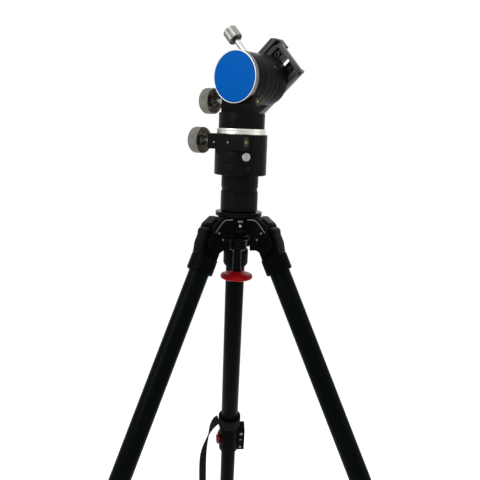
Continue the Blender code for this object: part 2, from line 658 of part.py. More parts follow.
def carry_strap():
    """A loop round the rear leg's upper clamp, and the free end, which hangs straight down."""
    height = -(UPPER_CLAMP + 10.5)
    loop = tube(18.8, 17.2, height - 9.5, height + 9.5, LEG_SIDES)
    route = [(18.2, 0), (24, -3), (31.5, -14), (37.6, -31), (43.4, -51), (46, -68), (46, -92), (45, -450)]
    tail = webbing(route, STRAP_WIDTH, STRAP_THICK, 0)
    return carved(loop, [moved(tail, at(0, 0, height) @ turn(SPLAY, "Y"))])


HINGES = {name: leg(name, azimuth) for name, azimuth in LEG_AZIMUTH.items()}
piece("carry_strap", carry_strap(), WEBBING, HINGES["rear"])
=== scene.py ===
"""Looks for a worm-driven altazimuth head on a folding three-leg tripod.

Lengths are millimetres in each piece's own frame, and MM turns them into metres. The frames come
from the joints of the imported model. Heights on the head are counted from the levelling ball's
centre up the leaning axis, and distances on a leg run down from its hinge.
"""

import json
import math

import bmesh
import bpy
from mathutils import Matrix, Vector


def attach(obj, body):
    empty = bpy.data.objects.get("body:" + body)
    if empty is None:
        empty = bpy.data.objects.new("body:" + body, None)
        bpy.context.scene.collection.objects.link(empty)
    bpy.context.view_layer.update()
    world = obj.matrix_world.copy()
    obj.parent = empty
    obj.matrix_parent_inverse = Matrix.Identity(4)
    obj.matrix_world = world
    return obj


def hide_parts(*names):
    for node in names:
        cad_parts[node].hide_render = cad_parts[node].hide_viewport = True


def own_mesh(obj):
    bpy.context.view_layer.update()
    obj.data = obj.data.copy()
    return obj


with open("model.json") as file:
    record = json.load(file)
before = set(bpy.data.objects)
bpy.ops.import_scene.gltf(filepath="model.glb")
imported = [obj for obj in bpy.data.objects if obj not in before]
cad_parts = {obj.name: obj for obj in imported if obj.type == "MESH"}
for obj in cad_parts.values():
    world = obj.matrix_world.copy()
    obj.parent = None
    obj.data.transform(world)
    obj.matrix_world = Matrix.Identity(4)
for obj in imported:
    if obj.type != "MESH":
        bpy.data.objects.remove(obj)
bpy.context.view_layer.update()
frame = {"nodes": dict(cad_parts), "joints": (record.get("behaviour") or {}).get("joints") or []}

MM = 0.001
LEGS = {"rear": 90.0, "left": 210.0, "right": 330.0}  # each leg's direction in plan
FINE, MEDIUM, COARSE = 96, 64, 32  # facets round large, middling and small turned pieces

UPPER_R, MIDDLE_R, LOWER_R = 14.0, 12.4, 10.8
UPPER_CLAMP, LOWER_CLAMP, CLAMP_LENGTH, CLAMP_LIP = 353.0, 733.0, 77.0, 25.0
FOOT_TOP, TUBE_END, LEG_LENGTH, FOOT_R, SPLAY = 1172.0, 1190.0, 1209.9, 13.0, 24.15
HINGE_R, HINGE_Z = 45.7, -36.0  # a leg's hinge, from the ball's centre
CHEEK_IN, CHEEK_OUT, TONGUE_R = 12.4, 19.0, 15.5
BALL_R, BOWL_IN, BOWL_OUT, RIM_Z = 28.6, 30.2, 34.0, -4.0
PLATE_R, ADAPTER_R, NECK_R, RING_R, BEARING_R, FLANGE_R = 32.2, 25.65, 25.5, 35.7, 33.8, 31.4
AZ_WORM_Y, AZ_WORM_Z, ALT_AXIS_Z, ALT_WORM_Y, ALT_WORM_Z = -29.3, 101.7, 186.7, -1.8, 155.2
BARREL_R, CAP_FRONT, BARREL_FRONT, BARREL_BACK, HUB_BACK = 34.7, -20.7, -12.9, 25.0, 57.0
KNOB_R, KNOB_LENGTH = 17.8, 16.2
PLATE_TOP, JAW_TOP, SADDLE_MID = 67.8, 80.0, -1.5
SCREW_AZIMUTH, SCREW_Z, SCREW_R = -42.4, 82.2, 5.5
GAP = 0.3


# ---------------------------------------------------------------- frames

def axes(origin, x_axis, z_axis):
    """The frame at a point in metres, with the given X and Z directions."""
    z = Vector(z_axis).normalized()
    y = z.cross(Vector(x_axis)).normalized()
    turned = Matrix((y.cross(z), y, z)).transposed().to_4x4()
    return Matrix.Translation(Vector(origin)) @ turned


def at(x, y, z):
    return Matrix.Translation(Vector((x, y, z)) * MM)


def turn(degrees, axis):
    return Matrix.Rotation(math.radians(degrees), 4, axis)


ALONG_X = turn(90, "Y")  # takes a shape's Z axis to +X
ALONG_Y = turn(-90, "X")  # takes a shape's Z axis to +Y
PROFILE_UPRIGHT = turn(90, "X")  # takes an outline's Y axis to +Z and its extrusion to -Y

JOINTS = {joint["name"]: joint for joint in frame["joints"]}


def joint_axis(name):
    return Vector(JOINTS[name]["axis"])


UP, ACROSS, BACK = (joint_axis(n) for n in ("azimuth_clutch", "azimuth_worm_turn", "altitude_clutch"))
BALL_AT = JOINTS["level_tilt_x"]["pos_m"]
CROWN = axes(BALL_AT, (1, 0, 0), (0, 0, 1))
HEAD = axes(BALL_AT, ACROSS, UP)
AZ_WORM = axes(JOINTS["azimuth_worm_turn"]["pos_m"], -UP, ACROSS)
ALT_WORM = axes(JOINTS["altitude_worm_turn"]["pos_m"], -UP, ACROSS)
ALTITUDE = axes(JOINTS["altitude_clutch"]["pos_m"], ACROSS, BACK)
SADDLE = axes(JOINTS["altitude_clutch"]["pos_m"], -joint_axis("jaw_slide"), BACK)
CLAMP_AXIS = axes(JOINTS["clamp_screw_turn"]["pos_m"], BACK, joint_axis("clamp_screw_turn"))


def leg_frame(name):
    """Z up the leg from its hinge, Y along the hinge and X outward."""
    along, hinge = joint_axis(f"{name}_lower_slide"), joint_axis(f"{name}_leg_fold")
    return axes(JOINTS[f"{name}_leg_fold"]["pos_m"], hinge.cross(along), along)


# ---------------------------------------------------------------- materials

def surface(name, colour, roughness, metallic=0.0, mottle=0.12, patch=14.0, polish=0.05,
            grain=0.0, grain_size=0.5, stretch=(1, 1, 1), rings=0.0, pitch=0.7, **sockets):
    """A Principled material. Noise varies its colour and roughness; grain and rings are its bump in mm."""
    made = bpy.data.materials.new(name)
    made.use_nodes = True
    made.diffuse_color = (*colour, 1.0)
    nodes, links = made.node_tree.nodes, made.node_tree.links
    shader = nodes["Principled BSDF"]
    shader.inputs["Metallic"].default_value = metallic
    for socket, value in sockets.items():
        shader.inputs[socket.replace("_", " ")].default_value = value
    place = nodes.new("ShaderNodeTexCoord").outputs["Object"]

    def noise(size, scaled=(1, 1, 1)):
        mapping = nodes.new("ShaderNodeMapping")
        mapping.inputs["Scale"].default_value = scaled
        links.new(place, mapping.inputs["Vector"])
        texture = nodes.new("ShaderNodeTexNoise")
        texture.inputs["Scale"].default_value = 1 / (size * MM)
        texture.inputs["Detail"].default_value = 4.0
        links.new(mapping.outputs["Vector"], texture.inputs["Vector"])
        return texture.outputs["Fac"]

    def ranged(value, low, high, start=0.3, end=0.7):
        node = nodes.new("ShaderNodeMapRange")
        for socket, number in (("From Min", start), ("From Max", end), ("To Min", low), ("To Max", high)):
            node.inputs[socket].default_value = number
        links.new(value, node.inputs["Value"])
        return node.outputs["Result"]

    darker, lighter = ((*(c * (1 + k * mottle) for c in colour), 1.0) for k in (-1, 1))
    tint = nodes.new("ShaderNodeMix")
    tint.data_type = "RGBA"
    tint.inputs[6].default_value, tint.inputs[7].default_value = darker, lighter
    links.new(ranged(noise(patch), 0, 1), tint.inputs[0])
    links.new(tint.outputs[2], shader.inputs["Base Color"])
    links.new(ranged(noise(patch / 3), roughness - polish, roughness + polish), shader.inputs["Roughness"])
    normal = None
    heights = []
    if grain:
        heights.append((noise(grain_size, stretch), grain))
    if rings:
        wave = nodes.new("ShaderNodeTexWave")
        wave.bands_direction = "Z"
        wave.inputs["Scale"].default_value = math.pi / 10 / (pitch * MM)
        wave.inputs["Distortion"].default_value = 0.4
        links.new(place, wave.inputs["Vector"])
        heights.append((wave.outputs["Fac"], rings))
    for height, depth in heights:
        bump = nodes.new("ShaderNodeBump")
        bump.inputs["Strength"].default_value = 1.0
        bump.inputs["Distance"].default_value = depth * MM
        links.new(height, bump.inputs["Height"])
        if normal:
            links.new(normal, bump.inputs["Normal"])
        normal = bump.outputs["Normal"]
    if normal:
        links.new(normal, shader.inputs["Normal"])
    return made


ANODISED = surface("black_anodised", (0.0022, 0.0025, 0.0026), 0.34, grain=0.004, rings=0.003,
                   Specular_IOR_Level=0.035)
MACHINED = surface("black_machined", (0.0100, 0.0112, 0.0120), 0.34, grain=0.008, grain_size=0.35,
                   Specular_IOR_Level=0.22)
CASTING = surface("casting_paint", (0.0005, 0.0008, 0.0008), 0.42, mottle=0.2, grain=0.02, grain_size=0.8,
                  Specular_IOR_Level=0.018)
TUBE = surface("leg_tube_black", (0.0006, 0.0014, 0.0012), 0.34, mottle=0.15, patch=40, grain=0.004,
               grain_size=0.9, stretch=(1, 1, 0.02), Specular_IOR_Level=0.02)
# A light grey for the web beads, the cheek screws and the boss plates: painted highlight, standing in for
# the light these small raised parts catch on the dark casting.
HIGHLIGHT_GREY = surface("painted_highlight_grey", (0.075, 0.074, 0.064), 0.40, 0.3, mottle=0.3, patch=5, grain=0.02)
SILVER = surface("silver_anodised", (0.58, 0.57, 0.52), 0.34, 0.9, mottle=0.05, grain=0.008, rings=0.008)
KNURL = surface("knob_steel", (0.135, 0.131, 0.116), 0.34, 0.9, mottle=0.06, grain=0.008, rings=0.008)
NICKEL = surface("nickel", (0.19, 0.186, 0.174), 0.28, 0.95, mottle=0.05, grain=0.006)
STEEL = surface("bright_steel", (0.36, 0.35, 0.33), 0.26, 1.0, mottle=0.08, grain=0.006)
BLACK_STEEL = surface("black_oxide", (0.012, 0.012, 0.013), 0.34, 0.5, grain=0.008, Specular_IOR_Level=0.2)
# The tone inside each knob's cup: partly the cup's own darker metal, partly painted shade in the hollow.
BRONZE_AND_SHADE = surface("knob_bowl", (0.34, 0.31, 0.235), 0.38, 0.5, mottle=0.2, patch=6, rings=0.01)
BRASS = surface("brass", (0.34, 0.23, 0.08), 0.30, 1.0, grain=0.008)
RED = surface("red_plastic", (0.21, 0.0014, 0.0034), 0.34, mottle=0.08, grain=0.004,
              Specular_IOR_Level=0.04)
LEVER_RED = surface("lever_red", (0.16, 0.0015, 0.0030), 0.42, mottle=0.1, grain=0.02, grain_size=0.6,
                    Specular_IOR_Level=0.10)
BLUE = surface("blue_plate", (0.0, 0.060, 0.262), 0.34, mottle=0.03, grain=0.004, Specular_IOR_Level=0.02)
RUBBER = surface("rubber", (0.005, 0.005, 0.005), 0.75, mottle=0.2, grain=0.06, grain_size=0.7,
                 Specular_IOR_Level=0.2)
LINER = surface("liner_plastic", (0.008, 0.008, 0.008), 0.55, grain=0.01, Specular_IOR_Level=0.1)
WEBBING = surface("webbing", (0.0042, 0.0043, 0.0038), 0.85, mottle=0.3, patch=5, grain=0.03,
                  grain_size=0.35, rings=0.12, pitch=1.1, Specular_IOR_Level=0.05)


# ---------------------------------------------------------------- shapes

def arc(radius, start, end, steps, centre=(0.0, 0.0)):
    """Points on an arc from start to end, in degrees from the first axis."""
    angles = (math.radians(start + (end - start) * i / steps) for i in range(steps + 1))
    return [(centre[0] + radius * math.cos(a), centre[1] + radius * math.sin(a)) for a in angles]


def sphere_arc(radius, low, high, steps):
    """Profile points on a sphere, from height low to height high."""
    start, end = math.acos(-low / radius), math.acos(-high / radius)
    angles = (start + (end - start) * i / steps for i in range(steps + 1))
    return [(radius * math.sin(a), -radius * math.cos(a)) for a in angles]


def rounded(points, radius, closed, steps=3):
    """The points with their sharp corners turned into small curves."""
    out, count = [], len(points)
    for i, point in enumerate(points):
        corner = Vector(point)
        if not closed and i in (0, count - 1):
            out.append(tuple(corner))
            continue
        before, after = Vector(points[i - 1]) - corner, Vector(points[(i + 1) % count]) - corner
        if before.length < 1e-6 or after.length < 1e-6 or before.angle(-after) < math.radians(25):
            out.append(tuple(corner))
            continue
        reach = min(radius, 0.45 * before.length, 0.45 * after.length)
        start, end = corner + before.normalized() * reach, corner + after.normalized() * reach
        for k in range(steps + 1):
            t = k / steps
            out.append(tuple(start * (1 - t) ** 2 + corner * 2 * t * (1 - t) + end * t * t))
    return out


def finish(bm):
    bmesh.ops.recalc_face_normals(bm, faces=bm.faces)
    return bm


def turned(profile, steps=FINE, fillet=0.4):
    """A turned solid about Z from (radius, height) points. A profile clear of the axis closes on itself."""
    closed = profile[0][0] > 0
    bm = bmesh.new()
    rings = []
    for radius, height in rounded(profile, fillet, closed) if fillet else profile:
        count = steps if radius > 1e-6 else 1
        turns = (2 * math.pi * i / steps for i in range(count))
        rings.append([
            bm.verts.new((radius * MM * math.cos(t), radius * MM * math.sin(t), height * MM))
            for t in turns
        ])
    pairs = list(zip(rings, rings[1:])) + ([(rings[-1], rings[0])] if closed else [])
    for low, high in pairs:
        for i in range(steps):
            j = (i + 1) % steps
            corners = [low[i % len(low)], low[j % len(low)], high[j % len(high)], high[i % len(high)]]
            corners = list(dict.fromkeys(corners))
            if len(corners) > 2:
                bm.faces.new(corners)
    return finish(bm)


def rod(radius, low, high, steps=COARSE, fillet=0.0):
    return turned([(0, low), (radius, low), (radius, high), (0, high)], steps, fillet)


def tube(outer, inner, low, high, steps=MEDIUM, fillet=0.3):
    return turned([(outer, low), (outer, high), (inner, high), (inner, low)], steps, fillet)


def soften(bm, bevel, segments):
    """Rounds every edge that turns by more than 30 degrees."""
    if bevel:
        sharp = [e for e in bm.edges if e.calc_face_angle(0) > math.radians(30)]
        bmesh.ops.bevel(bm, geom=sharp, offset=bevel * MM, segments=segments, profile=0.6,
                        affect="EDGES", clamp_overlap=True)
    return finish(bm)


def prism(outline, low, high, bevel=0.0, segments=2):
    """An outline in X and Y, extruded from low to high along Z."""
    bm = bmesh.new()
    floor = [bm.verts.new((x * MM, y * MM, low * MM)) for x, y in outline]
    roof = [bm.verts.new((x * MM, y * MM, high * MM)) for x, y in outline]
    bm.faces.new(floor)
    bm.faces.new(roof)
    for i in range(len(outline)):
        j = (i + 1) % len(outline)
        bm.faces.new((floor[i], floor[j], roof[j], roof[i]))
    return soften(finish(bm), bevel, segments)


def box(low, high, bevel=0.0, segments=3):
    bm = bmesh.new()
    size, middle = Vector(high) - Vector(low), (Vector(high) + Vector(low)) / 2
    place = Matrix.Translation(middle * MM) @ Matrix.Diagonal((*(size * MM), 1.0))
    bmesh.ops.create_cube(bm, size=1.0, matrix=place)
    return soften(bm, bevel, segments)


def moved(bm, matrix):
    bmesh.ops.transform(bm, matrix=matrix, verts=bm.verts)
    return finish(bm)


def knurled(bm, radius, low, high, count, depth):
    """Straight ribs pressed into the part of a turned solid at one radius, between two heights."""
    for vert in bm.verts:
        reach = math.hypot(vert.co.x, vert.co.y) / MM
        if abs(reach - radius) < 0.05 and low < vert.co.z / MM < high:
            angle = math.atan2(vert.co.y, vert.co.x)
            share = 1 - depth * (0.5 - 0.5 * math.cos(count * angle)) / reach
            vert.co.x *= share
            vert.co.y *= share
    return finish(bm)


def joined(*shapes):
    """Several shapes as one bmesh, side by side."""
    whole = shapes[0]
    for shape in shapes[1:]:
        whole.from_mesh(mesh_from(shape, "joined"))
    return whole


def ruled(rings):
    """A skin over a row of rings with the same number of corners, closed at both ends."""
    bm = bmesh.new()
    rows = [[bm.verts.new(corner * MM) for corner in ring] for ring in rings]
    bm.faces.new(rows[0])
    bm.faces.new(rows[-1])
    for near, far in zip(rows, rows[1:]):
        for i in range(len(near)):
            j = (i + 1) % len(near)
            bm.faces.new((near[i], near[j], far[j], far[i]))
    return finish(bm)


def flowing(route, steps):
    """The route with smooth curves between its points (Catmull-Rom)."""
    points = [Vector(point) for point in route]
    points = [2 * points[0] - points[1]] + points + [2 * points[-1] - points[-2]]
    out = []
    for a, b, c, d in zip(points, points[1:], points[2:], points[3:]):
        for i in range(steps):
            t = i / steps
            out.append(0.5 * (2 * b + (c - a) * t + (2 * a - 5 * b + 4 * c - d) * t * t
                              + (3 * b - a - 3 * c + d) * t ** 3))
    return out + [points[-2]]


def tangents(points):
    last = len(points) - 1
    return [(points[min(i + 1, last)] - points[max(i - 1, 0)]).normalized() for i in range(last + 1)]


def beading(route, radius, steps=12):
    """A round bead along a route of (x, y, z) points."""
    points = flowing(route, 5)
    rings = []
    for point, along in zip(points, tangents(points)):
        side = along.cross(Vector((0, 1, 0))).normalized() * radius
        other = along.cross(side).normalized() * radius
        turns = (2 * math.pi * i / steps for i in range(steps))
        rings.append([point + side * math.cos(t) + other * math.sin(t) for t in turns])
    return ruled(rings)


def ribbon(route, width, thickness):
    """A flat strap along (x, y, z, twist) points. Without twist its width lies along X."""
    points = flowing(route, 8)
    places = [Vector(point[:3]) for point in points]
    rings = []
    for point, place, along in zip(points, places, tangents(places)):
        twist = Matrix.Rotation(math.radians(point[3]), 3, along)
        flat = twist @ along.cross(Vector((1, 0, 0)).cross(along)).normalized()
        across, through = flat * width / 2, along.cross(flat) * thickness / 2
        rings.append([place + corner for corner in (across + through, through - across,
                                                    -across - through, across - through)])
    return ruled(rings)


def mesh_from(bm, name):
    mesh = bpy.data.meshes.new(name)
    bm.to_mesh(mesh)
    bm.free()
    return mesh


def helper(bm):
    made = bpy.data.objects.new("helper", mesh_from(bm, "helper"))
    bpy.context.scene.collection.objects.link(made)
    return made


def carved(base, adds=(), cuts=()):
    """One bmesh: the base joined with each of adds, then cut by each of cuts."""
    target = helper(base)
    steps = [("UNION", helper(bm)) for bm in adds] + [("DIFFERENCE", helper(bm)) for bm in cuts]
    for operation, tool in steps:
        modifier = target.modifiers.new(operation.lower(), "BOOLEAN")
        modifier.operation = operation
        modifier.object = tool
    bpy.context.view_layer.update()
    graph = bpy.context.evaluated_depsgraph_get()
    made = bmesh.new()
    made.from_object(target, graph)
    for used in [target] + [tool for _, tool in steps]:
        bpy.data.objects.remove(used, do_unlink=True)
    return made


def piece(name, shape, look, place, body, stands_for=(), inner=None):
    """A piece in a frame, riding on a body. inner is (look, test) for the faces that the test picks."""
    mesh = mesh_from(shape, name)
    mesh.materials.append(look)
    if inner:
        mesh.materials.append(inner[0])
        for face in mesh.polygons:
            face.material_index = int(inner[1](face.center / MM))
    mesh.shade_smooth()
    mesh.set_sharp_from_angle(angle=math.radians(35))
    made = bpy.data.objects.new(name, mesh)
    bpy.context.scene.collection.objects.link(made)
    made.matrix_world = place
    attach(made, body)
    if stands_for:
        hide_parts(*stands_for)
    return made


def refinish(node, look):
    """A new look for a CAD node that stays."""
    shown = frame["nodes"][node]
    shown.data.materials.clear()
    shown.data.materials.append(look)


# ---------------------------------------------------------------- fasteners

def cap_screw(radius, height, key):
    """A socket-head screw's head standing on Z = 0."""
    head = turned([(0, 0), (radius, 0), (radius, height), (0, height)], COARSE, 0.3)
    socket = rod(key / 2 / math.cos(math.pi / 6), height * 0.35, height + 1, 6)
    return carved(head, cuts=[socket])


def set_screw(radius, key):
    """A headless socket screw whose face is at Z = 0."""
    head = turned([(0, -3), (radius, -3), (radius, 0), (0, 0)], COARSE, 0.2)
    return carved(head, cuts=[rod(key / 2 / math.cos(math.pi / 6), -2, 1, 6)])


def on_cylinder(radius, azimuth, height):
    """A frame whose Z points straight out of an upright cylinder."""
    return turn(azimuth, "Z") @ at(radius, 0, height) @ ALONG_X


# ---------------------------------------------------------------- levelling ball and tie-down

def half_ball():
    hole = [(0, -10), (4.8, -10), (4.8, -26)]
    plate = [(28.6, 0.3), (PLATE_R, 0.3), (PLATE_R, 2.5), (31.4, 2.9), (31.4, 3.4), (PLATE_R, 3.8),
             (PLATE_R, 5.8), (0, 5.8)]
    return turned(hole + sphere_arc(BALL_R, -26, -1, 18) + plate)


def tie_down_cup():
    """The dish that pulls up against the bowl, and the shouldered sleeve below it."""
    dish = [(4.8, -34.2), (9, -33.3), (13, -31.9), (17.5, -29.7), (17.5, -32.5), (13.4, -34.5)]
    bell = [(13, -36.2), (13, -46.5), (10.6, -48.4), (6.4, -50.4), (6.0, -52.5)]
    sleeve = [(6.0, -74.5), (6.7, -75.5), (6.7, -78.6), (4.8, -78.6)]
    return turned(dish + bell + sleeve, MEDIUM)


def tie_down_knob():
    """A smooth lens-shaped hand knob with a groove round its upper edge."""
    bore = [(0, -89), (4.8, -89), (4.8, -79.1)]
    upper = [(8.5, -79.1), (9, -79.9), (12, -80.6), (18, -82.1), (19.4, -82.5), (19.8, -83.2), (20.4, -83.3),
             (20.8, -83.0), (21.7, -83.6), (22.5, -84.7)]
    lower = [(22.5, -87.6), (21.8, -89.0), (19.0, -90.5), (12, -92.0), (0, -92.8)]
    return turned(bore + upper + lower, 128, 0.3)


def make_leveller():
    piece("half_ball_turned", half_ball(), ANODISED, HEAD, "leveller", ["half_ball"])
    stem = turned([(0, -88.5), (4.0, -88.5), (4.5, -87.8), (4.5, -10.3), (0, -10.3)], COARSE)
    piece("tie_down_stud", stem, STEEL, HEAD, "leveller", ["tie_down_stem"])
    piece("tie_down_bell", tie_down_cup(), ANODISED, HEAD, "tie_down_cup", ["tie_down_cup"])
    piece("tie_down_hand_knob", tie_down_knob(), RED, HEAD, "tie_down_knob", ["tie_down_knob"])
    refinish("ball_liner", LINER)


# ---------------------------------------------------------------- azimuth unit

def grooved(radius, low, high, marks, depth=0.3, width=0.8):
    """Profile points up the side of a cylinder, with a groove at each mark."""
    side = [(radius, low)]
    for mark in marks:
        side += [(radius, mark - width / 2), (radius - depth, mark - width / 4),
                 (radius - depth, mark + width / 4), (radius, mark + width / 2)]
    return side + [(radius, high)]


def adapter():
    side = grooved(ADAPTER_R, 8.2, 33.9, [31.4])
    return turned([(0, 5.8), (23.6, 5.8)] + side + [(0, 33.9)], fillet=0.35)


BASE_SCREW = (-36.8, 67.8)  # azimuth and height on the base ring
HUB_SCREW = (-28.3, 29.8)  # the same on the altitude hub


def azimuth_base():
    foot = [(0, 33.9), (24.6, 33.9), (24.6, 39)] + grooved(NECK_R, 39.6, 56.5, [49.0, 52.4], 0.25, 0.7)
    ring = [(RING_R - 0.9, 56.5), (RING_R, 57.4), (RING_R, 72), (10, 72), (10, 116), (0, 116)]
    dimple = moved(rod(2.7, -1.0, 4, COARSE), on_cylinder(RING_R, *BASE_SCREW))
    return carved(turned(foot + ring), cuts=[dimple])


LIP = (28.0, 30.5)  # radii of the lips that close the turning seams from inside
WORM_PORT = 6.6  # radius of the bore round each worm


def clutch_ring():
    ring = turned([(10.4, 72), (RING_R, 72), (RING_R, 89.2), (LIP[1], 89.2), (LIP[1], 90.6),
                   (LIP[0], 90.6), (LIP[0], 89.2), (10.4, 89.2)], FINE, 0.35)
    room = moved(rod(6.1, -5, 8), on_cylinder(RING_R, SCREW_AZIMUTH, SCREW_Z))
    return carved(ring, cuts=[room])


def clutch_screw():
    head = turned([(0, -4.6), (SCREW_R, -4.6), (SCREW_R, 0.4), (0, 0.4)], MEDIUM, 0.6)
    return moved(carved(head, cuts=[box((-8, -0.7, -0.9), (8, 0.7, 3))]),
                 on_cylinder(RING_R, SCREW_AZIMUTH, SCREW_Z))


BAR_HALF, BAR_FRONT, BAR_LOW, BAR_HIGH = 28.9, -38.0, 91.2, 111.8
BAR_SCREWS = ((-18.2, 100.2), (4.8, 100.5))


def worm_housing():
    shell = turned([(0, 89.5), (RING_R, 89.5), (RING_R, 111.4), (0, 111.4)], FINE)
    bar = box((-BAR_HALF, BAR_FRONT, BAR_LOW), (BAR_HALF, -20, BAR_HIGH), 0.9)
    bore = turned([
        (0, 80), (12, 80), (12, 95), (25.4, 95), (25.4, 107), (34.4, 107), (34.4, 130), (0, 130),
    ], FINE, 0)
    cuts = [bore, moved(rod(WORM_PORT, -60, 60), at(0, AZ_WORM_Y, AZ_WORM_Z) @ ALONG_X)]
    cuts += [tube(LIP[1] + 0.5, LIP[0] - 0.5, 88, 91.0, FINE, 0)]
    cuts += [moved(rod(1.6, -1.4, 4), at(x, BAR_FRONT, z) @ PROFILE_UPRIGHT) for x, z in BAR_SCREWS]
    return carved(shell, [bar], cuts)


def hand_knob(face):
    """A cupped knurled knob about Z. Its hub and cup face the shaft, at height face."""
    back = face - KNOB_LENGTH
    bore = [(0, back + 3), (3.7, back + 3), (3.7, face - 1.0)]
    hub = [(7.0, face - 1.0), (7.2, face - 9.5), (15.0, face - 9.5), (15.6, face)]
    rim = [(KNOB_R - 0.9, face), (KNOB_R, face - 1.0), (KNOB_R, face - 1.6)]
    side = [(KNOB_R, face - 1.6 - (KNOB_LENGTH - 5.2) * i / 3) for i in range(1, 4)]
    dome = [(r, -z) for r, z in arc(3.4, 0, 90, 6, (KNOB_R - 3.4, -(back + 3.4)))]
    face_marks = [(9.0, back), (8.7, back + 0.3), (8.2, back + 0.3), (7.9, back), (0, back)]
    knob = turned(bore + hub + rim + side + dome[1:] + face_marks, 288, 0.3)
    return knurled(knob, KNOB_R, back + 3.0, face - 1.4, 72, 0.35)


def knob_bowl(face):
    """Picks the faces inside a knob's cup, which take the bronze tone: partly the cup's darker metal, partly
    painted shade in the hollow.
    """
    return lambda p: int(7.3 < math.hypot(p.x, p.y) < 15.7 and p.z > face - 10.2 and p.z < face - 0.3)


def worm_shaft(front, back):
    """The shaft, and the thread seen down the bore."""
    profile = [(0, front), (3.0, front), (3.4, front + 0.4), (3.4, -11)]
    for i in range(8):
        profile += [(4.6, -10.4 + 2.6 * i + 0.2), (6.0, -10.4 + 2.6 * (i + 0.5))]
    profile += [(4.6, 10.4), (3.4, 10.6), (3.4, back), (0, back)]
    return turned(profile, COARSE, 0.0)


def worm_plug(face):
    """The bearing plug at a worm's far end: a dark ring round a brass centre, both about Z."""
    ring = turned([(2.5, face - 3.4), (2.5, face + 0.1), (3.0, face + 0.6), (5.8, face + 0.6),
                   (6.5, face), (6.5, face - 3.4)], MEDIUM, 0.2)
    centre = turned([(0, face - 3.4), (2.3, face - 3.4), (2.3, face + 0.6), (0, face + 0.6)], COARSE, 0.4)
    slot = box((-4, -0.45, face + 0.1), (4, 0.45, face + 2))
    return ring, carved(centre, cuts=[slot])


def make_worm(name, place, face, tip, side, front, back):
    """A worm's shaft and knob, which turn, and its bearing plug in the housing.

    Along the worm's axis: face is the knob's open face, tip is where the collar starts, side is the
    housing's far side, and front and back are the shaft's ends.
    """
    piece(f"{name}_worm_shaft", worm_shaft(front, back), STEEL, place, f"{name}_worm", [f"{name}_worm"])
    # The faces inside the cup take the bronze tone, which is partly painted shade.
    piece(f"{name}_hand_knob", hand_knob(face), KNURL, place, f"{name}_worm", [f"{name}_knob"],
          (BRONZE_AND_SHADE, knob_bowl(face)))
    grub = moved(set_screw(1.4, 1.3), at(0, 0, face - 4.2) @ turn(60, "Z") @ at(7.05, 0, 0) @ ALONG_X)
    piece(f"{name}_knob_grub_screw", grub, BLACK_STEEL, place, f"{name}_worm")
    collar = turned([(3.75, tip), (5.2, tip), (5.2, tip + 3), (3.75, tip + 3)], COARSE, 0.3)
    piece(f"{name}_worm_collar", collar, STEEL, place, f"{name}_worm")
    ring, centre = worm_plug(side)
    piece(f"{name}_bearing_plug", ring, BLACK_STEEL, place, "head")
    piece(f"{name}_plug_centre", centre, BRASS, place, "head")


def make_azimuth_unit():
    piece("plate_adapter", adapter(), ANODISED, HEAD, "leveller", ["tripod_adapter"])
    piece("azimuth_body", azimuth_base(), ANODISED, HEAD, "leveller", ["azimuth_base"])
    stop = moved(set_screw(2.3, 2.0), on_cylinder(RING_R - 0.3, *BASE_SCREW))
    piece("base_set_screw", stop, BLACK_STEEL, HEAD, "leveller")
    piece("clutch_band", clutch_ring(), ANODISED, HEAD, "leveller", ["clutch_ring"])
    piece("clutch_slotted_screw", clutch_screw(), STEEL, HEAD, "leveller", ["clutch_screw"])
    refinish("azimuth_worm_wheel", BRASS)
    piece("worm_housing", worm_housing(), ANODISED, HEAD, "head", ["azimuth_worm_housing"])
    for i, (x, z) in enumerate(BAR_SCREWS):
        screw = moved(set_screw(1.4, 1.2), at(x, BAR_FRONT + 0.5, z) @ PROFILE_UPRIGHT)
        piece(f"bar_set_screw_{i + 1}", screw, STEEL, HEAD, "head")
    make_worm("azimuth", AZ_WORM, face=-41.4, tip=-33.0, side=BAR_HALF, front=-47.5, back=24)
    side = [(BEARING_R, 108.3), (BEARING_R, 115.0), (BEARING_R - 0.35, 115.2), (BEARING_R - 0.35, 115.7),
            (BEARING_R, 115.9), (BEARING_R, 119)]
    piece("bearing_band", turned([(11, 108.3)] + side + [(11, 119)]), SILVER, HEAD, "head", ["bearing_ring"])
    flange = turned([(0, 119), (FLANGE_R, 119), (FLANGE_R, 139.8), (0, 139.8)], fillet=0.6)
    dimple = moved(rod(1.3, -1.2, 4), on_cylinder(FLANGE_R, -62.6, 128.5))
    piece("head_base", carved(flange, cuts=[dimple]), ANODISED, HEAD, "head", ["head_flange"])


# ---------------------------------------------------------------- altitude unit

BLOCK_HALF = 25.8


def altitude_housing():
    """The worm block and round barrel: Y is down, Z runs from the cap to the saddle."""
    side = grooved(BARREL_R, BARREL_FRONT, BARREL_BACK, [-10.2, -7.8, -0.6, 1.4, 14.5], 0.3, 0.55)
    barrel = turned([(0, BARREL_FRONT)] + side + [(0, BARREL_BACK)], FINE, 0.25)
    foot = ALT_AXIS_Z - 139.7
    block = box((-BLOCK_HALF, 8, -14.1), (BLOCK_HALF, foot, 2.9), 0.9)
    column = box((-15, 20, 2), (15, foot - 0.2, 17), 0.9)
    cuts = [
        box((-40, -40, -30), (40, BARREL_R + 0.5, BARREL_FRONT)), rod(27.6, BARREL_FRONT - 2, 4.2, MEDIUM),
        rod(12.4, -5, BARREL_BACK + 5, MEDIUM),
        tube(LIP[1] + 0.5, LIP[0] - 0.5, BARREL_BACK - 1.8, 30, FINE, 0),
        moved(rod(WORM_PORT, -40, 40), at(0, ALT_AXIS_Z - ALT_WORM_Z, ALT_WORM_Y) @ ALONG_X),
    ]
    return carved(barrel, [block, column], cuts)


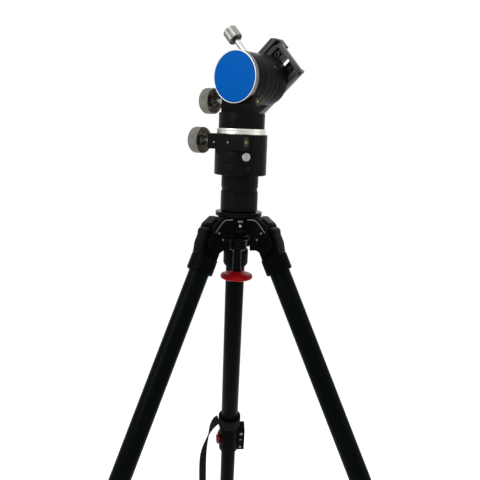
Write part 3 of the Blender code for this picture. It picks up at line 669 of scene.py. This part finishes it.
def altitude_hub():
    """The shaft, and the wide hub behind the barrel that carries the saddle."""
    face = BARREL_BACK + GAP
    front = [(0, -12.4), (12.0, -12.4), (12.0, face), (LIP[0], face), (LIP[0], face - 1.7),
             (LIP[1], face - 1.7), (LIP[1], face)]
    side = grooved(BARREL_R, face, HUB_BACK, [36.0, 37.6], 0.3, 0.5)
    hub = turned(front + side + [(0, HUB_BACK)], FINE, 0.5)
    return carved(hub, cuts=[moved(rod(1.9, -1.2, 4), on_cylinder(BARREL_R, *HUB_SCREW))])


DISC_ROOM = 33.6  # radius of the end cap's recess


def end_cap():
    face = CAP_FRONT + 0.7
    rim = [(DISC_ROOM, face), (DISC_ROOM, CAP_FRONT), (BARREL_R, CAP_FRONT)]
    back = BARREL_FRONT - GAP
    side = [(BARREL_R, back), (27.0, back), (27.0, back + 1.6), (0, back + 1.6)]
    return turned([(0, face)] + rim + side, 128, 0.45)


SADDLE_BOLTS = ((-13, 18), (9, 18), (-13, -14), (9, -14))
POCKETS = (-16.5, 12.0)  # the middles of the plate's two pockets, across the dovetail
SCREW_LINE = at(0, 5.0, 62.6) @ ALONG_X  # the clamp screw's axis in the saddle's frame
CLAMP_KNOB = (84.4, 103.0)  # where the clamp's knob starts and ends along CLAMP_AXIS


def saddle():
    """Base plate with its fixed jaw. X is across the dovetail, Y along it, Z away from the cap."""
    half = [(22.5, -47.5), (28.0, -38.0), (28.5, -20.0)]
    right = half + [(x, -y) for x, y in reversed(half)]
    left = [(-x, y) for x, y in reversed(right)]
    plate = prism([(x + SADDLE_MID, y) for x, y in right + left], HUB_BACK, PLATE_TOP, 0.7)
    relief = PLATE_TOP + 2.4  # the wall's foot is cut back below this
    jaw = [(20.7, PLATE_TOP - 1), (20.7, relief), (19.6, relief), (17.0, JAW_TOP), (22.5, JAW_TOP),
           (26.6, PLATE_TOP - 1)]
    fixed = moved(prism(jaw, -44, 44, 0.4), turn(90, "X"))
    cuts = [box((x - 6.5, -43, HUB_BACK - 1), (x + 6.5, -26, HUB_BACK + 6), 1.5) for x in POCKETS]
    flare = [(-4.2, HUB_BACK - 5), (7.0, HUB_BACK - 5), (0.6, PLATE_TOP), (0.6, PLATE_TOP + 5),
             (-4.2, PLATE_TOP + 5)]
    cuts += [moved(prism(flare, 29, 44.5), turn(90, "X"))]
    cuts += [moved(rod(4.8, -40, -10), SCREW_LINE)]
    cuts += [moved(rod(2.6, -1, 9), at(x, y, PLATE_TOP - 5)) for x, y in SADDLE_BOLTS]
    return carved(plate, [fixed], cuts)


def saddle_jaw():
    """The L-shaped sliding jaw, whose lip reaches in over the plate."""
    section = [(-41.5, 59), (-33.2, 59), (-33.2, 68.2), (-24.7, 68.2), (-21.6, JAW_TOP), (-38.6, JAW_TOP),
               (-41.5, 77)]
    bar = moved(prism(section, -46, 46, 0.5), turn(90, "X"))
    cuts = [moved(box((-8, -8, 40), (8, 8, 100)), at(-43.5, y, 0) @ turn(45, "Z")) for y in (-50, 50)]
    cuts += [moved(rod(4.8, -50, -28), SCREW_LINE), box((-42.3, -40, 67.5), (-40.6, 40, 68.7), 0.3)]
    return carved(bar, cuts=cuts)


def clamp_knob():
    """The knob about Z, which runs outward along the screw. A slot crosses its end."""
    (low, high), radius = CLAMP_KNOB, 10.8
    side = [(radius, low + 1.2 + (high - low - 2.4) * i / 4) for i in range(5)]
    profile = [(0, 94), (4.8, 94), (4.8, low), (9.2, low), (radius - 0.6, low)] + side
    knob = turned(profile + [(radius - 1.2, high), (0, high)], 240, 0.35)
    knurled(knob, radius, low + 1.0, high - 1.0, 60, 0.22)
    return carved(knob, cuts=[moved(box((-15, -1.2, high - 2.6), (15, 1.2, high + 3)), turn(35, "Z"))])


def make_altitude_unit():
    piece("altitude_casing", altitude_housing(), ANODISED, ALTITUDE, "head", ["altitude_housing"])
    make_worm("altitude", ALT_WORM, face=-46.0, tip=-31.6, side=BLOCK_HALF, front=-52, back=22)
    refinish("altitude_worm_wheel", BRASS)
    piece("altitude_hub", altitude_hub(), ANODISED, ALTITUDE, "altitude", ["altitude_shaft"])
    hub_screw = moved(set_screw(1.7, 1.6), on_cylinder(BARREL_R - 0.4, *HUB_SCREW))
    piece("hub_set_screw", hub_screw, STEEL, ALTITUDE, "altitude")
    piece("end_cap_rim", end_cap(), KNURL, ALTITUDE, "altitude", ["end_cap"],
          (SILVER, lambda p: p.z < CAP_FRONT + 0.5))
    disc = rod(DISC_ROOM - 0.15, CAP_FRONT + 0.25, CAP_FRONT + 0.72, 128, 0.15)
    piece("end_cap_disc", disc, BLUE, ALTITUDE, "altitude")
    piece("saddle_plate", saddle(), MACHINED, SADDLE, "altitude", ["saddle"])
    for i, (x, y) in enumerate(SADDLE_BOLTS):
        bolt = moved(cap_screw(2.4, 3.2, 2.5), at(x, y, PLATE_TOP - 5.9))
        piece(f"saddle_bolt_{i + 1}", bolt, BLACK_STEEL, SADDLE, "altitude")
    for i, x in enumerate(POCKETS):
        screw = moved(cap_screw(4.2, 4.6, 4.0), at(x, -34.5, HUB_BACK + 5.95) @ turn(180, "X"))
        piece(f"pocket_screw_{i + 1}", screw, BLACK_STEEL, SADDLE, "altitude")
    piece("sliding_jaw", saddle_jaw(), MACHINED, SADDLE, "jaw", ["saddle_jaw"])
    stud = turned([(0, 13), (3.8, 13), (4.4, 13.6), (4.4, 92), (0, 92)], COARSE)
    piece("clamp_stud", stud, STEEL, CLAMP_AXIS, "clamp_screw", ["clamp_screw"])
    piece("clamp_hand_knob", clamp_knob(), NICKEL, CLAMP_AXIS, "clamp_screw", ["clamp_knob"],
          (BLACK_STEEL, lambda p: p.z < CLAMP_KNOB[0] + 0.2))


# ---------------------------------------------------------------- crown

ROOF_TOP, ROOF_END = (36.5, -0.8), (48.4, -10.4)  # the sloping roof, as radius and height


def hinge_arm(azimuth):
    """Two cheeks under a sloping roof, which hold one leg's hinge."""
    side = [(22, -25), (22, -0.8), ROOF_TOP, ROOF_END, (50.6, -15.0), (53.6, -22.5)]
    side += arc(13.2, 40, -110, 14, (HINGE_R, HINGE_Z)) + [(33, -44), (26, -36)]
    return moved(prism(side, -CHEEK_OUT, CHEEK_OUT, 1.0), turn(azimuth, "Z") @ PROFILE_UPRIGHT)


def tongue_room(azimuth):
    """The slot between the cheeks: round the hinge, under the roof, and open below and outside."""
    side = arc(TONGUE_R + 0.5, 180, 95, 10, (HINGE_R, HINGE_Z))
    side += [(45.0, -12.3), (85, -12.3), (85, -75), (29.7, -75)]
    return moved(prism(side, -CHEEK_IN, CHEEK_IN), turn(azimuth, "Z") @ PROFILE_UPRIGHT)


def web(azimuth):
    """The wall between two legs, which the throat then hollows."""
    right = [(24, -45.6), (24, -9.5), (21.5, -5.6), (9.6, -3.6)]
    wall = right + [(-x, z) for x, z in reversed(right)]
    return moved(prism(wall, -33.2, -21.5, 0.8), turn(azimuth - 90, "Z") @ PROFILE_UPRIGHT)


def window(azimuth):
    opening = [(-14, -60), (14, -60)] + arc(14, 0, 180, 24, (0, -32.9))
    return moved(prism(opening, -45, -20), turn(azimuth - 90, "Z") @ PROFILE_UPRIGHT)


def spider():
    between = [azimuth + 60 for azimuth in LEGS.values()]
    core = turned([(0, -34), (33.6, -34), (33.6, RIM_Z - 1.2), (32.4, RIM_Z), (0, RIM_Z)], FINE, 0.3)
    below = [(0, -80), (27, -80)] + sphere_arc(BOWL_OUT, -31.5, -20.7, 8)[::-1]
    seat = sphere_arc(BOWL_IN, -27.35, RIM_Z, 14)
    throat = turned(below + seat + [(33.8, RIM_Z), (33.8, 10), (0, 10)], FINE, 0)
    pin_holes = [moved(rod(4.3, -26, 26, COARSE), turn(a, "Z") @ at(HINGE_R, 0, HINGE_Z) @ ALONG_Y)
                 for a in LEGS.values()]
    adds = [hinge_arm(a) for a in LEGS.values()] + [web(a) for a in between]
    cuts = [throat] + [tongue_room(a) for a in LEGS.values()] + pin_holes + [window(a) for a in between]
    return carved(core, adds, cuts)


CHEEK_SCREWS = ((43.5, -21.7), (37.3, -30.7))  # radius and height on each cheek


def cheek_details(azimuth):
    """The two small screws on both cheeks of one arm, and the short ribs between them."""
    screws, ribs = [], []
    for across, facing in ((CHEEK_OUT, ALONG_Y), (-CHEEK_OUT, PROFILE_UPRIGHT)):
        for radius, height in CHEEK_SCREWS:
            screws.append(moved(cap_screw(1.5, 0.7, 1.5), at(radius, across, height) @ facing))
        for i in range(4):
            radius, height = 42.6 - 1.3 * i, -24.6 - 1.5 * i
            ribs.append(moved(box((-2.2, -0.35, -0.3), (2.2, 0.35, 0.5), 0.2),
                              at(radius, across, height) @ facing))
    place = turn(azimuth, "Z")
    return moved(joined(*screws), place), moved(joined(*ribs), place)


def make_crown():
    piece("spider_casting", spider(), CASTING, CROWN, "tripod_crown", ["spider"])
    for name, azimuth in LEGS.items():
        screws, ribs = cheek_details(azimuth)
        # The cheek screws take the light grey of painted highlight.
        piece(f"cheek_screws_{name}", screws, HIGHLIGHT_GREY, CROWN, "tripod_crown")
        piece(f"cheek_ribs_{name}", ribs, CASTING, CROWN, "tripod_crown")
        face = CROWN @ turn(azimuth + 60 - 270, "Z")  # -Y looks out of the wall beside this leg
        # The beads along each web's rim are light grey: painted highlight along the raised rim.
        sides = [beading([(s * 33, -40.6, -20.8), (s * 21.6, -34.4, -5.9), (s * 9.6, -33.4, -3.9)], 0.8)
                 for s in (-1, 1)]
        piece(f"web_beads_{name}", joined(*sides), HIGHLIGHT_GREY, face, "tripod_crown")
        boss = box((-6, -34.9, -16), (6, -32, -4.4), 0.8)
        piece(f"web_boss_{name}", boss, CASTING, face, "tripod_crown")
        # The small plate on the boss shares the light grey of painted highlight.
        plate = box((-3.1, -35.3, -7.6), (3.6, -34.5, -4.8), 0.3)
        piece(f"web_plate_{name}", plate, HIGHLIGHT_GREY, face, "tripod_crown")
        screw = moved(cap_screw(1.8, 0.9, 1.8), at(0, -34.8, -12.1) @ PROFILE_UPRIGHT)
        piece(f"web_screw_{name}", screw, STEEL, face, "tripod_crown")


# ---------------------------------------------------------------- legs

def bracket():
    """Hinge tongue and tube socket, in the leg's frame: -Z runs down the leg, Y is the hinge."""
    shoulder = [(9.8, 20.6), (18.2, 14.2), (19.1, 11.0), (17.3, 4.5), (17.4, -6)]
    side = shoulder + [(13.6, -21.3), (-13, -21.3)] + arc(TONGUE_R, 213, 64, 20)
    tongue = moved(prism(side, -12.0, 12.0, 0.9), PROFILE_UPRIGHT)
    socket = turned([(0, -17), (14.8, -17), (18.2, -21), (18.2, -41.5), (16.7, -43), (0, -43)], FINE, 0.8)
    bore = rod(UPPER_R + GAP, -48, -21.5, MEDIUM)
    hinge = moved(rod(4.3, -20, 20, COARSE), ALONG_Y)
    return carved(tongue, [socket], [bore, hinge])


def hinge_pin():
    end = CHEEK_OUT + GAP
    head = [(0, end + 2.2), (1.9, end + 2.2), (2.3, end + 1.0), (3.4, end + 1.0), (3.8, end + 2.2),
            (5.2, end + 2.2), (6.4, end + 1.3), (6.4, end), (4.0, end)]
    return moved(turned(head + [(r, -y) for r, y in reversed(head)], COARSE, 0.25), ALONG_Y)


def angle_stop():
    """Sliding release tab on the arm's sloping roof."""
    slope = math.degrees(math.atan2(ROOF_END[1] - ROOF_TOP[1], ROOF_END[0] - ROOF_TOP[0]))
    ribs = [box((6.0 + 2.2 * i, -7, 2.1), (6.9 + 2.2 * i, 7, 2.55), 0.2) for i in range(4)]
    tab = joined(box((4.5, -9, 0.35), (15.6, 9, 2.3), 0.7), *ribs)
    return moved(tab, at(ROOF_TOP[0], 0, ROOF_TOP[1]) @ turn(-slope, "Y"))


OVERLAP = 40.0  # how far a drawn-out tube still reaches up inside the one above
LEVER_DROP = 51.5  # a lever's hinge, below the collar's top
EYE_SIDE, EYE_OUT = 5.5, 8.0  # the same hinge, off the leg's middle and out from the tube's skin
LUG_EARS = ((-76.0, -60.1), (-42.9, -24.0))  # each ear's lower and upper end, from the collar's top


def clamp(outer_tube, inner_tube):
    """Split collar on the outer tube's end with its lever lug. Z runs up from the collar's top at 0."""
    step = -(CLAMP_LENGTH - CLAMP_LIP)
    shell = outer_tube + 2.8
    side = [(shell, -0.8), (shell, -5.2), (shell - 0.5, -5.8), (shell - 0.5, -17.6), (shell, -18.2),
            (shell, -19.6), (shell - 0.5, -20.0), (shell, -20.4), (shell, -21.8), (shell - 0.5, -22.2),
            (shell, -22.6), (shell, -CLAMP_LENGTH + 1.4)]
    collar = turned([(0, 0), (shell - 0.8, 0)] + side + [(shell - 1.2, -CLAMP_LENGTH), (0, -CLAMP_LENGTH)],
                    FINE, 0.3)
    near, far = -outer_tube - 0.5, -outer_tube - 13
    side_view = [(near, -24.5), (near, -CLAMP_LENGTH + 1.5), (far, -CLAMP_LENGTH + 1.5)]
    side_view += arc(5.0, 180, 90, 8, (far + 5.0, -29.5))
    wall = moved(prism(side_view, -8, 1.2, 0.7), turn(90, "Z") @ PROFILE_UPRIGHT)
    ears = [box((0, far + 0.2, low), (10, near, high), 2.2) for low, high in LUG_EARS]
    bore = turned([(0, -200), (inner_tube + GAP, -200), (inner_tube + GAP, step),
                   (outer_tube + GAP, step), (outer_tube + GAP, 50), (0, 50)], MEDIUM, 0)
    split = box((-0.8, far - 5, -CLAMP_LENGTH - 5), (0.8, -inner_tube + 1.5, step + 3))
    return carved(collar, [wall] + ears, [bore, split])


def clamp_screws(outer_tube):
    """The hex screw and two pins seen on the lug's inner face."""
    inward = turn(-90, "Y")  # takes a screw's Z axis to -X
    middle = -outer_tube - 7.0
    heads = [moved(cap_screw(2.8, 1.2, 3.0), at(-7.95, middle, -37.0) @ inward)]
    heads += [moved(cap_screw(1.7, 0.8, 1.4), at(-7.95, middle + 1, -51.0) @ inward)]
    heads += [moved(cap_screw(2.3, 0.9, 2.0), at(-7.95, middle + 1, -68.5) @ inward)]
    return joined(*heads)


def lever(outer_tube):
    """Flip lever: a hinge eye at the origin and a band that wraps round behind the collar."""
    eye = outer_tube + EYE_OUT
    inner, outer = outer_tube + 3.4, outer_tube + 6.2
    start, end = -76, 112
    band = arc(outer, start, end, 40) + arc(inner, end, start, 40)
    grip = arc(outer + 2.4, end - 18, end + 6, 8) + arc(inner, end + 6, end - 18, 8)
    arm = moved(prism(band, -6.5, 6.5, 0.6), at(-EYE_SIDE, eye, 0))
    tip = moved(prism(grip, -7.5, 7.5, 0.9), at(-EYE_SIDE, eye, 0))
    return carved(rod(3.6, -8, 8, COARSE, 0.5), [arm, tip])


def foot():
    """Rubber boot on the tube's end, ribbed round its collar, with a ball tread."""
    tread = [(FOOT_R * math.cos(a), -LEG_LENGTH - FOOT_R * math.sin(a)) for a in
             (math.radians(i * (90 - SPLAY) / 8) for i in range(8))]
    tread += [(FOOT_R * math.sin(math.radians(SPLAY * i / 4)),
               -LEG_LENGTH - FOOT_R * math.cos(math.radians(SPLAY * i / 4))) for i in (4, 3, 2, 1, 0)]
    seat_end = -TUBE_END - 0.6
    seat = [(0, seat_end), (LOWER_R + GAP, seat_end), (LOWER_R + GAP, -FOOT_TOP)]
    boot = [(14.0, -FOOT_TOP), (15.2, -1173.4)]
    for i in range(4):
        top = -1174.6 - 2.8 * i
        boot += [(15.2, top), (14.5, top - 0.6), (14.5, top - 1.2), (15.2, top - 1.8)]
    return turned(seat + boot + [(15.2, -1185.6), (13.4, -1190)] + tread, MEDIUM, 0.25)


def make_leg(name):
    place, upright = leg_frame(name), CROWN @ turn(LEGS[name], "Z")
    piece(f"{name}_release_tab", angle_stop(), ANODISED, upright, f"{name}_stop", [f"leg_{name}_angle_stop"])
    piece(f"{name}_pivot_pin", hinge_pin(), CASTING, place, "tripod_crown", [f"leg_{name}_hinge_pin"])
    piece(f"{name}_socket_bracket", bracket(), CASTING, place, f"{name}_upper", [f"leg_{name}_bracket"])
    upper_end = UPPER_CLAMP + CLAMP_LENGTH - CLAMP_LIP
    middle_end = LOWER_CLAMP + CLAMP_LENGTH - CLAMP_LIP
    sections = (
        ("upper", UPPER_R, 22, upper_end - GAP),
        ("middle", MIDDLE_R, upper_end - OVERLAP, middle_end - GAP),
        ("lower", LOWER_R, middle_end - OVERLAP, TUBE_END),
    )
    for part, radius, top, bottom in sections:
        piece(f"{name}_{part}_section", tube(radius, radius - 1.1, -bottom, -top), TUBE, place,
              f"{name}_{part}", [f"leg_{name}_{part}_tube"])
    locks = (("upper", UPPER_CLAMP, UPPER_R, MIDDLE_R), ("lower", LOWER_CLAMP, MIDDLE_R, LOWER_R))
    for (part, drop, outer_tube, inner_tube), body in zip(locks, ("upper", "middle")):
        seat = place @ at(0, 0, -drop)
        piece(f"{name}_{part}_collar", clamp(outer_tube, inner_tube), CASTING, seat, f"{name}_{body}",
              [f"leg_{name}_{part}_clamp"])
        piece(f"{name}_{part}_collar_screws", clamp_screws(outer_tube), NICKEL, seat, f"{name}_{body}")
        hinge = seat @ at(EYE_SIDE, -outer_tube - EYE_OUT, -LEVER_DROP)
        piece(f"{name}_{part}_flip_lever", lever(outer_tube), LEVER_RED, hinge, f"{name}_{part}_lever",
              [f"leg_{name}_{part}_lever"])
    piece(f"{name}_boot", foot(), RUBBER, place, f"{name}_lower", [f"leg_{name}_foot"])


# ---------------------------------------------------------------- carry strap

STRAP_WIDTH, STRAP_THICK = 20.0, 1.5
STRAP_ROUTE = (  # depth, sideways, height and twist, from the collar down
    (0, 18.6, 0.5, -24), (0, 24, -3, -22), (0, 31.5, -14, -8), (0, 37.6, -31, 12), (0, 43.0, -51, 27),
    (0, 45.4, -72, 33), (0, 45.8, -110, 33), (0, 45.6, -200, 30), (0, 45.3, -320, 24), (0, 45, -449, 20),
)


def make_strap():
    """The loop round the rear leg's upper collar, and the free end that hangs from it."""
    place, height = leg_frame("rear"), -(UPPER_CLAMP + 10.5)
    loop = piece("strap_loop", tube(18.8, 17.2, height - 9.5, height + 9.5, MEDIUM, 0.5), WEBBING, place,
                 "rear_upper", ["carry_strap"])
    hanging = place @ at(0, 0, height) @ turn(SPLAY, "Y")
    tail = piece("strap_tail", ribbon(STRAP_ROUTE, STRAP_WIDTH, STRAP_THICK), WEBBING, hanging,
                 "rear_upper", ["carry_strap"])
    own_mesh(tail)


# ---------------------------------------------------------------- floor, light and camera

def emitter(name, place, aim, size, power):
    light = bpy.data.lights.new(name, "AREA")
    light.shape, light.size, light.size_y, light.energy = "RECTANGLE", size[0], size[1], power
    made = bpy.data.objects.new(name, light)
    bpy.context.scene.collection.objects.link(made)
    made.location = place
    made.rotation_euler = (Vector(aim) - Vector(place)).to_track_quat("-Z", "Y").to_euler()


def make_stage():
    floor = bpy.data.objects.new("floor", mesh_from(box((-30000, -30000, -40), (30000, 30000, 0)), "floor"))
    bpy.context.scene.collection.objects.link(floor)
    look = bpy.data.materials.new("pale_floor")
    look.use_nodes = True
    shader = look.node_tree.nodes["Principled BSDF"]
    shader.inputs["Base Color"].default_value = (0.9, 0.9, 0.9, 1)
    shader.inputs["Roughness"].default_value = 0.9
    floor.data.materials.append(look)
    world = bpy.data.worlds.new("studio")
    world.use_nodes = True
    world.node_tree.nodes["Background"].inputs["Color"].default_value = (1, 1, 1, 1)
    world.node_tree.nodes["Background"].inputs["Strength"].default_value = 1.0
    bpy.context.scene.world = world
    bpy.context.scene.view_settings.view_transform = "Standard"
    target = (0, 0, 1.15)
    sun = bpy.data.lights.new("sky_glow", "SUN")
    sun.energy, sun.angle = 0.38, math.radians(120)
    bpy.context.scene.collection.objects.link(bpy.data.objects.new("sky_glow", sun))
    emitter("key_left", (-1.5, -1.3, 2.1), target, (1.2, 1.6), 30)
    emitter("fill_right", (1.7, -0.7, 1.6), target, (1.0, 1.8), 6)
    emitter("top", (0.1, -0.3, 3.0), target, (1.6, 1.6), 10)
    emitter("back", (0.6, 2.2, 2.0), target, (2.0, 1.5), 8)


def make_camera():
    """The lens, height, heading, pitch and roll that put the three legs where they are seen."""
    data = bpy.data.cameras.new("camera")
    data.sensor_width = 36.0
    data.lens = 51.55
    made = bpy.data.objects.new("camera", data)
    bpy.context.scene.collection.objects.link(made)
    eye = Vector((BALL_AT[0], BALL_AT[1], 0)) + Vector((-0.0612, -0.9520, 1.2215))
    pitch, roll = math.radians(6.17), math.radians(0.58)
    heading = Vector((0.0666, 0.9978, 0)).normalized()
    forward = heading * math.cos(pitch) - Vector((0, 0, math.sin(pitch)))
    right = forward.cross(Vector((0, 0, 1))).normalized()
    upward = right.cross(forward)
    level = right * math.cos(roll) + upward * math.sin(roll)
    made.matrix_world = axes(eye, level, -forward)
    bpy.context.scene.camera = made


make_camera()
make_stage()
make_leveller()
make_azimuth_unit()
make_altitude_unit()
make_crown()
for leg in LEGS:
    make_leg(leg)
make_strap()
